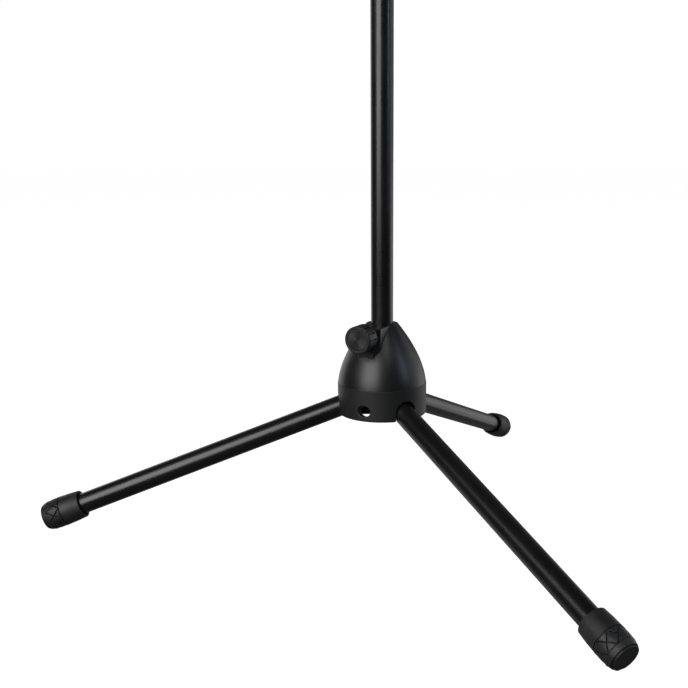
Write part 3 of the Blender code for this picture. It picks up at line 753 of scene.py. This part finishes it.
def ring():
    wall = ring_wall()
    top = DOME_LOW - SEAM_SHADOW
    joined = HUB_RADIUS - RING_WALL + 0.0007
    spigot = HUB_RADIUS - DOME_WALL - 0.0005
    web = [(spigot, top + 0.0024), (spigot, top - 0.0002), (joined, top - 0.0006), (joined, WEB_LOW),
           (BUSH_SEAT_RADIUS, WEB_LOW, 0.0008), (BUSH_SEAT_RADIUS, STOP_TOP, 0.0008),
           (STOP_RADIUS, STOP_TOP), (STOP_RADIUS, RING_LOW + 0.0005), (BORE_RADIUS, RING_LOW + 0.0005),
           (BORE_RADIUS, top), (spigot - 0.002, top), (spigot - 0.002, top + 0.0024)]
    inside = turned("web", web, hub_place(), 0.0003, True, sides=120)
    for azimuth in RING_SCREW_AZIMUTHS:
        turn = math.radians(azimuth)
        cheeks = prism(f"cheeks_{azimuth:.0f}", cheek_pair(), RING_LOW + 0.0002, WEB_LOW + 0.001,
                       hub_place(turn))
        carve(inside, "UNION", cheeks)
    tools = [bolt_drill(side) for side in LEG_SIDES]
    for azimuth in RING_SCREW_AZIMUTHS:
        place = hub_place(math.radians(azimuth)) @ Matrix.Translation((RING_SCREW_REACH, 0, 0))
        tools.append(drill("web_hole", 0.0022, WEB_LOW - 0.01, top + 0.01, place))
    carve(inside, "DIFFERENCE", *tools)
    carve(wall, "UNION", inside)
    return finish_piece(smooth(wall, 32), "hub", "hub_cast", RING_CAST, "hub_ring")


# Clamp knob

def knob():
    """Knob with a bright front chamfer, a fine groove behind it, and grip pads parted by slots."""
    radius, low, high = round_box("clamp_knob")
    front, back = HUB.y - low.y, HUB.y - high.y
    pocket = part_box("knob_cap")[1].x - HUB.x + 0.00012
    grip = (back + 0.0014, front - 0.0024)

    def slotted(angle, reach, level):
        if reach < radius - 0.0012 or not grip[0] < level < grip[1]:
            return reach, level
        pitch = 2 * math.pi / KNOB_GROOVES
        aside = abs((angle / pitch + KNOB_PHASE) % 1.0 - 0.5) * pitch * radius
        within = min(1.0, max(0.0, (0.00062 - aside) / 0.00022))
        ends = min(1.0, max(0.0, min(level - grip[0], grip[1] - level) / 0.00025))
        shoulder = min(1.0, max(0.0, (aside - 0.0005) / 0.0007))
        bow = 0.00018 * (1 - shoulder) ** 2 + 0.0001 * (aside / (pitch * radius / 2)) ** 2
        return reach - (0.0012 * within + bow) * ends, level

    groove_floor, head_pocket, pocket_floor = radius - 0.0009, 0.0066, front - 0.0023
    corners = [(pocket, pocket_floor), (pocket, front, 0.0001), (radius - 0.0007, front, 0.0001),
               (radius, front - 0.0006, 0.0001), (radius, front - 0.0014, 0.0002),
               (groove_floor, front - 0.0015, 0.0001), (groove_floor, front - 0.0022, 0.0001),
               (radius, front - 0.0023, 0.0003), (radius, back, 0.0006), (M8_BORE, back),
               (M8_BORE, KNOB_HEAD_SEAT), (head_pocket, KNOB_HEAD_SEAT), (head_pocket, pocket_floor)]

    def spacing(point, after):
        outside = min(point.x, after.x) > radius - 0.0012
        return 0.00016 if outside and (after - point).length > 0.0004 else None

    body = turned("knob_grip", corners, KNOB_PLACE, 0.0003, True, 480, slotted, spacing)
    finish_piece(smooth(body, 40), "knob", "black_plastic", PLASTIC, "clamp_knob")


def knob_cap():
    radius, low, _ = round_box("knob_cap")
    front = HUB.y - low.y
    corners = [(0.0, front - 0.00005), (radius - 0.0004, front - 0.00005, 0.0001),
               (radius - 0.0003, front - 0.00015, 0.0001), (radius, front - 0.00015, 0.00005),
               (radius, front - 0.0020), (0.0, front - 0.0020)]
    body = smooth(turned("knob_face", corners, KNOB_PLACE, 0.0002, sides=128), 40)
    finish_piece(body, "knob", "black_plastic", CAP, "knob_cap")


# Legs

def leg_tube(side):
    place, length = leg_frame(side)
    bore = LEG_RADIUS - LEG_WALL
    corners = [(LEG_RADIUS, length), (LEG_RADIUS, 0.0, 0.0004), (bore, 0.0), (bore, length)]
    body = turned(f"leg_pipe_{side}", corners, place, 0.0003, True, sides=96)
    carve(body, "DIFFERENCE", bolt_drill(side))
    finish_piece(smooth(body, 35), f"{side}_leg", "tube_paint", PAINT, f"leg_tube_{side}")


def diamond_relief(middle, row):
    """Relief of a foot's outer half: crossed grooves round domed diamonds, between two rings."""
    start, stop = middle + 0.0004, middle + 2 * row
    pitch = 2 * math.pi / FOOT_DIAMONDS

    def relief(angle, radius, height):
        if not start < height < stop or radius < 0.0115:
            return radius, height
        across = angle / pitch
        along = (height - middle) / (2 * row)
        rising, falling = (across + along) % 1.0, (across - along) % 1.0
        near = [min(value, 1 - value) for value in (rising, falling)]
        gap = min(near) * 2 * row * 0.65
        cut = max(0.0, 1 - (gap / 0.00042) ** 2)
        level = (across + along) // 1.0 - (across - along) // 1.0
        fade = min(1.0, (height - start) / 0.0005, (stop - height) / 0.0008)
        if level == 1.0:
            crown = 0.00022 * min(1.0, 5.5 * near[0] * near[1])
        else:
            crown = 0.00030 - 0.00075 * ((height - middle) / row - (1.0 if level > 1.0 else 0.0))
        return radius + fade * (crown - 0.0010 * cut), height

    return relief


def press_flat(item):
    """Raise whatever is below the floor to it, as the stand's weight presses rubber flat."""
    back = item.matrix_world.inverted()
    for vertex in item.data.vertices:
        spot = item.matrix_world @ vertex.co
        if spot.z < 0.0:
            spot.z = 0.0
            vertex.co = back @ spot


def foot(side):
    """Rubber foot along the leg: smooth sleeve, diamond grip, plain band and a separate end pad."""
    place, length = leg_frame(side)
    mouth = length + FOOT_FLOOR - FOOT_LENGTH
    end = FOOT_LENGTH + 0.0009
    cavity = LEG_RADIUS + CLEARANCE
    bottom = FOOT_LENGTH - FOOT_FLOOR + CLEARANCE
    middle, row = 0.0187, 0.0061
    band = middle + 2 * row
    rib, neck, pad_neck = 0.0137, 0.0127, 0.0107
    corners = [(0.0, bottom), (cavity, bottom, 0.0), (cavity, 0.0028, 0.0006),
               (cavity + 0.0010, 0.0006, 0.0005), (0.0121, 0.0002, 0.0003), (0.0127, 0.0006, 0.0006),
               (0.0134, middle / 2, 0.02), (rib, middle - 0.0005, 0.0001),
               (neck, middle - 0.0004, 0.0001), (neck, middle + 0.0003, 0.0001),
               (rib, middle + 0.0004, 0.0001), (0.0135, band, 0.0002),
               (0.01325, band + 0.0004, 0.0003), (0.0123, end - 0.0017, 0.0005),
               (pad_neck, end - 0.0019, 0.0002), (pad_neck, end - 0.0009, 0.0002),
               (0.0115, end - 0.0007, 0.0002), (0.0113, end, 0.0006), (0.0050, end - 0.0001, 0.001),
               (0.0, end - 0.0001)]

    def spacing(point, after):
        if point.x == 0.0:
            return None
        relief = point.x > 0.0125 and middle - 0.001 < after.y and point.y < band + 0.001
        pad = point.x < 0.0115 and point.y > end - 0.0005
        return 0.0002 if relief else 0.0004 if pad else 0.0015

    diamonds = diamond_relief(middle, row)
    hole = polar(0.0041, FOOT_HOLE_ANGLE)

    def shaped(angle, radius, height):
        if radius < 0.0112 and height > end - 0.0005:
            aside = (polar(radius, angle) - hole).length
            depth = max(0.0, min(1.0, (0.0014 - aside) / 0.0003))
            ring = abs(radius - 0.0072)
            return radius, height - 0.0030 * depth - 0.00006 * max(0.0, 1 - ring / 0.0003)
        return diamonds(angle, radius, height)

    place = place @ Matrix.Translation((0.0, 0.0, mouth)) @ Matrix.Rotation(FOOT_TWIST, 4, "Z")
    body = turned(f"foot_{side}", corners, place, 0.0003, False, 480, shaped, spacing)
    press_flat(body)
    smooth(body, 50, weighted=False)
    finish_piece(body, f"{side}_leg", "black_rubber", RUBBER, f"rubber_foot_{side}")


# Fasteners

def hex_reach(apothem, angle):
    """Distance from a hexagon's middle to its outline, in the direction of angle."""
    return apothem / math.cos((angle + math.pi / 6) % (math.pi / 3) - math.pi / 6)


def cap_screw(name, radius, head_radius, socket, tip, seat, top, place, node):
    """Socket-head screw of the hub along Z, its head at the top with a bevelled hexagonal socket."""
    depth = min(0.0028, (top - seat) * 0.6)
    corners = [(0.0, tip), (radius - 0.0003, tip), (radius, tip + 0.0004), (radius, seat, 0.0002),
               (head_radius, seat, 0.0002), (head_radius, top, 0.0005),
               (socket * 1.155 + 0.0003, top, 0.0001), (socket, top - 0.0003, 0.0),
               (socket, top - depth, 0.0), (0.0, top - depth - 0.0005)]

    def six_sided(angle, reach, height):
        walls = abs(reach - socket) < 1e-6 and height > top - depth - 1e-6
        return hex_reach(socket, angle) if walls else reach, height

    piece = smooth(turned(name, corners, place, 0.0002, False, 96, six_sided), 35)
    finish_piece(piece, "hub", "zinc_steel", ZINC, node)


def nut(name, apothem, bore, low, high, place, body, node):
    """Hexagonal nut along Z with its corners turned down."""
    edge = 0.0006
    corner = hex_reach(apothem, math.pi / 6)
    profile = [(bore + edge / 2, low), (corner - edge, low), (corner, low), (corner, high),
               (corner - edge, high), (bore + edge / 2, high), (bore, high - edge / 2),
               (bore, low + edge / 2)]

    def shape(angle, radius, height):
        reach = min(radius, hex_reach(apothem, angle)) if radius > bore + edge else radius
        lean = 0.6 * max(0.0, reach - (corner - 1.1 * edge)) if radius == corner else 0.0
        return reach, height + lean if height == low else height - lean

    piece = smooth(new_object(name, turned_form(profile, 96, True, shape), place), 25)
    finish_piece(piece, body, "zinc_steel", ZINC, node)


def fasteners():
    """A bolt and a nut at each leg's pivot, and the screws that hold the ring to the dome."""
    turned_over = Matrix.Rotation(math.pi, 4, "X")
    seat = CHEEK_OUTER + CLEARANCE
    for side in LEG_SIDES:
        cap_screw(f"bolt_{side}", BOLT_RADIUS, 0.00425, 0.0020, -0.0185, seat, seat + 0.005,
                  bolt_place(side) @ turned_over, f"pivot_bolt_{side}")
        nut(f"nut_{side}", 0.0040, BOLT_RADIUS + CLEARANCE, seat, seat + 0.0040, bolt_place(side),
            "hub", f"pivot_nut_{side}")
    for number in range(1, len(RING_SCREW_AZIMUTHS) + 1):
        low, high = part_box(f"ring_screw_{number}")
        middle = (low + high) / 2
        place = Matrix.Translation((middle.x, middle.y, 0.0)) @ turned_over
        cap_screw(f"web_screw_{number}", 0.00175, 0.0035, 0.0013, -high.z, CLEARANCE - WEB_LOW, -low.z,
                  place, f"ring_screw_{number}")


# Tubes, clutch and bell peg

def tubes():
    for node, name, body, wall in (("lower_tube", "main_pipe", "tube", 0.0015),
                                   ("upper_rod", "rod_pipe", "rod", 0.0012)):
        radius, low, high = round_box(node)
        bore = radius - wall
        corners = [(radius, high.z), (radius, low.z), (bore, low.z), (bore, high.z)]
        pipe = smooth(turned(name, corners, hub_place(), 0.0004, True))
        finish_piece(pipe, body, "tube_paint", PAINT, node)


def tube_plug():
    radius, low, high = round_box("tube_plug")
    spigot = 0.0082
    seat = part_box("lower_tube")[0].z - CLEARANCE
    corners = [(0.0, low.z + 0.0006), (0.0022, low.z + 0.0006, 0.0003), (0.0028, low.z, 0.0003),
               (radius, low.z, 0.0010), (radius, seat), (spigot, seat), (spigot, high.z, 0.0008),
               (0.0, high.z)]
    plug = smooth(turned("tube_end_plug", corners, hub_place()))
    finish_piece(plug, "tube", "black_plastic", PLASTIC, "tube_plug")


def groove(radius, low, depth, slope=0.0004):
    """Corners of a turned groove with sloping sides, from its upper edge down."""
    floor, width = radius - depth, 0.0008
    return [(radius, low + width + 2 * slope, 0.0003), (floor, low + width + slope, 0.0002),
            (floor, low + slope, 0.0002), (radius, low, 0.0003)]


def clutch_grip():
    """Fluted grip with a turned groove near its foot, over the collet's cone."""
    radius, low, high = round_box("clutch_grip")
    bottom, top = low.z, high.z
    thread_top, cone_low, cone_high = 0.5783, 0.5798, 0.5853
    corners = [(0.0079, top, 0.0004), (0.0105, top, 0.0006), (radius - 0.0012, top - 0.0012, 0.0022),
               (radius, bottom + 0.0065, 0.006), *groove(radius - 0.0001, bottom + 0.0026, 0.0006),
               (radius - 0.0004, bottom, 0.0007),
               (0.0117, bottom), (0.0117, thread_top), (0.0108, thread_top), (0.0108, cone_low),
               (0.0093, cone_high), (0.0093, top - 0.005), (0.0079, top - 0.005)]

    def spacing(point, after):
        return 0.0004 if point.x > radius - 0.0025 and (after - point).length > 0.0006 else None

    def fluted(angle, reach, level):
        """Rounded flutes that run out at their ends."""
        pitch = 2 * math.pi / CLUTCH_FLUTES
        aside = abs((angle / pitch + 0.5) % 1.0 - 0.5) * pitch * radius / FLUTE_HALF_WIDTH
        ends = min(1.0, (level - bottom - 0.006) / 0.003, (top - 0.0035 - level) / 0.003)
        if reach < radius - 0.0022 or aside >= 1.0 or ends <= 0.0:
            return reach, level
        return reach - FLUTE_DEPTH * math.cos(aside * math.pi / 2) ** 1.2 * math.sqrt(ends), level

    grip = turned("twist_grip", corners, hub_place(), 0.0003, True, 288, fluted, spacing)
    finish_piece(smooth(grip, 40), "grip", "black_plastic", PLASTIC, "clutch_grip")


def clutch_body():
    """Sleeve over the lower tube's top, with a neck that the grip turns on."""
    low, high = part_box("clutch_body")
    collet_seat = 0.566
    tube_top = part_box("lower_tube")[1].z + CLEARANCE
    over_tube, round_rod = 0.0103, 0.0079
    corners = [(0.0114, high.z), (0.0114, low.z + 0.020, 0.0004), (0.0135, low.z + 0.020, 0.0005),
               *groove(0.0135, low.z + 0.0050, 0.0004),
               (0.0133, low.z + 0.0010, 0.0012), (0.0122, low.z, 0.0006), (over_tube, low.z, 0.0004),
               (over_tube, tube_top), (round_rod, tube_top), (round_rod, collet_seat),
               (0.0100, collet_seat), (0.0100, high.z)]
    sleeve = smooth(turned("clutch_sleeve", corners, hub_place(), 0.0003, True))
    finish_piece(sleeve, "tube", "black_plastic", PLASTIC, "clutch_body")


def cone_radius(height, low, high):
    """Outer radius of the peg: a straight taper with a slight belly."""
    t = (height - low) / (high - low)
    return CONE_LOW_RADIUS + (CONE_TOP_RADIUS - CONE_LOW_RADIUS) * t + 0.0018 * math.sin(math.pi * t)


def peg_cone():
    """Hollow tapered peg with a web that its nut presses on."""
    low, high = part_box("peg_cone")
    base_top = low.z - CLEARANCE
    heights = [high.z + (low.z - high.z) * k / 40 for k in range(41)]
    outer = [(cone_radius(z, base_top, high.z), z, 0.0) for z in heights]
    outer[0] = (*outer[0][:2], 0.0006)
    outer[-1] = (*outer[-1][:2], 0.0008)
    web_low, web_top = 0.716, 0.719
    corners = outer + [(cone_radius(z, base_top, high.z) - CONE_WALL, z) for z in (low.z, web_low)]
    corners += [(M8_BORE, web_low), (M8_BORE, web_top)]
    inner_heights = [web_top + (high.z - web_top) * k / 4 for k in range(5)]
    corners += [(cone_radius(z, base_top, high.z) - CONE_WALL, z, 0.0) for z in inner_heights]
    cone = smooth(turned("bell_cone", corners, hub_place(), 0.0003, True))
    finish_piece(cone, "rod", "black_plastic", PLASTIC, "peg_cone")


def peg_base():
    """Flange for the bell and its felt ring, on a neck that holds the rod's stud."""
    radius, low, high = round_box("peg_base")
    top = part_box("felt_ring")[0].z - CLEARANCE
    under = top - 0.004
    waist, neck = 0.6950, 0.6850
    rod_bore, stud_seat = 0.0078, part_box("rod_stud")[0].z + 0.0273
    corners = [(0.0220, high.z), (0.0220, top), (radius, top, 0.0012), (radius, under, 0.0016),
               (0.0200, under - 0.0006, 0.004), (0.0135, waist, 0.008), (0.0120, neck, 0.02),
               *groove(0.0116, low.z + 0.0022, 0.0004, 0.0003),
               (0.0113, low.z, 0.0007), (rod_bore, low.z), (rod_bore, stud_seat),
               (M8_BORE, stud_seat), (M8_BORE, top + 0.001), (0.0190, top + 0.001), (0.0190, high.z)]
    base = smooth(turned("peg_flange", corners, hub_place(), 0.0003, True))
    finish_piece(base, "rod", "black_plastic", PLASTIC, "peg_base")


def felt_ring():
    outer_radius, low, high = round_box("felt_ring")
    inner = CONE_LOW_RADIUS + CLEARANCE
    rim = outer_radius - 0.0001

    def fuzzy(angle, reach, level):
        """Uneven cut edges, as felt has."""
        lift = 0.00012 * noise.noise(polar(reach, angle, level) * 900.0)
        return min(outer_radius, reach + lift * 0.8), min(high.z, max(low.z, level + lift))

    corners = [(rim, high.z, 0.0009), (rim, low.z, 0.0003), (inner, low.z, 0.0003),
               (inner, high.z, 0.0007)]
    ring_piece = smooth(turned("felt_pad", corners, hub_place(), 0.0003, True, 240, fuzzy,
                               lambda point, after: 0.0004), 60)
    finish_piece(ring_piece, "rod", "peg_felt", FELT, "felt_ring")


def peg_tip():
    """Soft domed cap on the cone's small end."""
    low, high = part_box("peg_tip")
    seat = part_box("peg_cone")[1].z + CLEARANCE
    shoulder = seat + 0.0006
    turns = [math.radians(2.25 * k) for k in range(1, 41)]
    dome_points = [(CONE_TOP_RADIUS * math.sin(turn) ** 0.9,
                    shoulder + (high.z - shoulder) * math.cos(turn), 0.0) for turn in turns]
    spigot = CONE_TOP_RADIUS - CONE_WALL - CLEARANCE
    corners = [(0.0, high.z)] + dome_points + [(CONE_TOP_RADIUS, seat, 0.0003), (spigot, seat),
                                               (spigot - 0.0003, low.z), (0.0, low.z)]
    tip = smooth(turned("peg_end", corners, hub_place()))
    finish_piece(tip, "rod", "black_rubber", RUBBER, "peg_tip")


# CAD nodes that stay, with their own finish

def hidden_nodes():
    kept = {"tube_bush": PLASTIC, "boss_insert": BRASS, "clamp_pad": PLASTIC, "clamp_screw": ZINC,
            "clutch_collet": PLASTIC, "rod_guide": PLASTIC, "rod_stud": ZINC}
    kept.update({f"leg_plug_{side}": PLASTIC for side in LEG_SIDES})
    for node, surface in kept.items():
        item = NODES[node]
        item.data.materials.clear()
        item.data.materials.append(surface)
        smooth(item)


# Stage, lights and camera

LIGHT_DISTANCE = 1.8
BEHIND_STAND = (-0.466, 0.885, -0.20)
CAMERA_OFFSET = Vector((0.4087, -0.7758, 0.3621))
CAMERA_PITCH = math.radians(12.19)
CAMERA_LENS = 51.57
CAMERA_SHIFT = -0.0553


def stage():
    """A glowing white table top with a faint contact shadow, kept out of the object's reflections."""
    form = bmesh.new()
    bmesh.ops.create_circle(form, cap_ends=True, segments=96, radius=9.0)
    floor = new_object("floor", form)
    pale, tree, shader = new_surface("pale_floor", Roughness=0.9, Specular_IOR_Level=0.0,
                                     Emission_Color=(1.0, 1.0, 1.0, 1.0), Emission_Strength=0.985)
    link(tree, blended(tree, grain_noise(tree, coordinates(tree), 0.4), (0.20, 0.20, 0.20),
                       (0.21, 0.21, 0.21)), shader.inputs["Base Color"])
    floor.data.materials.append(pale)
    floor.visible_diffuse = False
    floor.visible_glossy = False
    floor.visible_shadow = False


def softbox(name, azimuth, elevation, size, radiance, colour=(1.0, 1.0, 1.0)):
    """Area light facing the hub, azimuth degrees round from +X; radiance is how bright its face looks."""
    light = bpy.data.lights.new(name, "AREA")
    light.shape = "RECTANGLE"
    light.size, light.size_y = size
    light.energy = radiance * math.pi * size[0] * size[1]
    light.color = colour
    item = bpy.data.objects.new(name, light)
    aim = HUB + Vector((0.0, 0.0, 0.2))
    flat, up = math.radians(azimuth), math.radians(elevation)
    away = Vector((math.cos(up) * math.cos(flat), math.cos(up) * math.sin(flat), math.sin(up)))
    item.location = aim + away * LIGHT_DISTANCE
    item.rotation_euler = (-away).to_track_quat("-Z", "Y").to_euler()
    item.visible_camera = False
    bpy.context.scene.collection.objects.link(item)


def world(seen, front, behind, below):
    """White to the camera. For lighting it is dark in front, brighter behind the stand, and has a pale
    floor's weak bounce from below."""
    sky = bpy.data.worlds.new("studio")
    bpy.context.scene.world = sky
    sky.use_nodes = True
    tree = sky.node_tree
    tree.nodes.clear()
    direction = add(tree, "TexCoord").outputs["Generated"]
    towards = add(tree, "VectorMath")
    towards.operation = "DOT_PRODUCT"
    towards.inputs[1].default_value = BEHIND_STAND
    link(tree, direction, towards.inputs[0])
    level = mapped(tree, towards.outputs["Value"], front, behind, -0.05, 0.55)
    level.node.interpolation_type = "SMOOTHSTEP"
    upright = add(tree, "SeparateXYZ")
    link(tree, direction, upright.inputs["Vector"])
    bounce = mapped(tree, upright.outputs["Z"], below, 0.0, -0.6, 0.0)
    both = add(tree, "Math")
    both.operation = "MAXIMUM"
    link(tree, level, both.inputs[0])
    link(tree, bounce, both.inputs[1])
    mix = add(tree, "MixShader")
    for number, strength in ((1, both.outputs["Value"]), (2, None)):
        glow = add(tree, "Background", Color=(seen, seen, seen, 1.0))
        if strength:
            link(tree, strength, glow.inputs["Strength"])
        link(tree, glow.outputs["Background"], mix.inputs[number])
    link(tree, add(tree, "LightPath").outputs["Is Camera Ray"], mix.inputs["Fac"])
    link(tree, mix.outputs["Shader"], add(tree, "OutputWorld").inputs["Surface"])


def camera():
    eye = bpy.data.cameras.new("camera")
    eye.lens = CAMERA_LENS
    eye.sensor_width = 36.0
    eye.shift_x = CAMERA_SHIFT
    eye.clip_start = 0.01
    item = bpy.data.objects.new("camera", eye)
    item.location = HUB + CAMERA_OFFSET
    heading = math.atan2(-CAMERA_OFFSET.x, -CAMERA_OFFSET.y)
    item.rotation_euler = (math.radians(90) - CAMERA_PITCH, 0.0, -heading)
    bpy.context.scene.collection.objects.link(item)
    bpy.context.scene.camera = item


dome()
ring()
knob()
knob_cap()
for side in LEG_SIDES:
    leg_tube(side)
    foot(side)
fasteners()
tubes()
tube_plug()
clutch_grip()
clutch_body()
peg_cone()
peg_base()
felt_ring()
peg_tip()
radius, low, high = round_box("peg_nut")
nut("peg_lock_nut", 0.0065, M8_BORE, low.z, high.z, hub_place(), "rod", "peg_nut")
hidden_nodes()
stage()
world(1.0, 0.012, 0.12, 0.055)
camera()
softbox("key", -97.0, 21.0, (1.35, 1.35), 5.2)
softbox("side", -135.0, 26.0, (0.45, 0.7), 1.1)
softbox("window", 4.0, 23.0, (0.36, 1.15), 3.8, (0.55, 0.72, 1.0))
softbox("spark", -42.0, 50.0, (0.35, 0.35), 8.0)
softbox("rim_left", 152.0, -3.0, (1.5, 1.4), 1.0)
softbox("table_left", 160.0, -36.0, (2.0, 1.0), 0.3)
softbox("rim_right", 66.0, -14.0, (1.5, 1.0), 0.62)
softbox("fill_right", 45.0, 6.0, (1.6, 1.4), 0.7)
bpy.context.scene.view_settings.view_transform = "Standard"

low, high = CAD_BOX
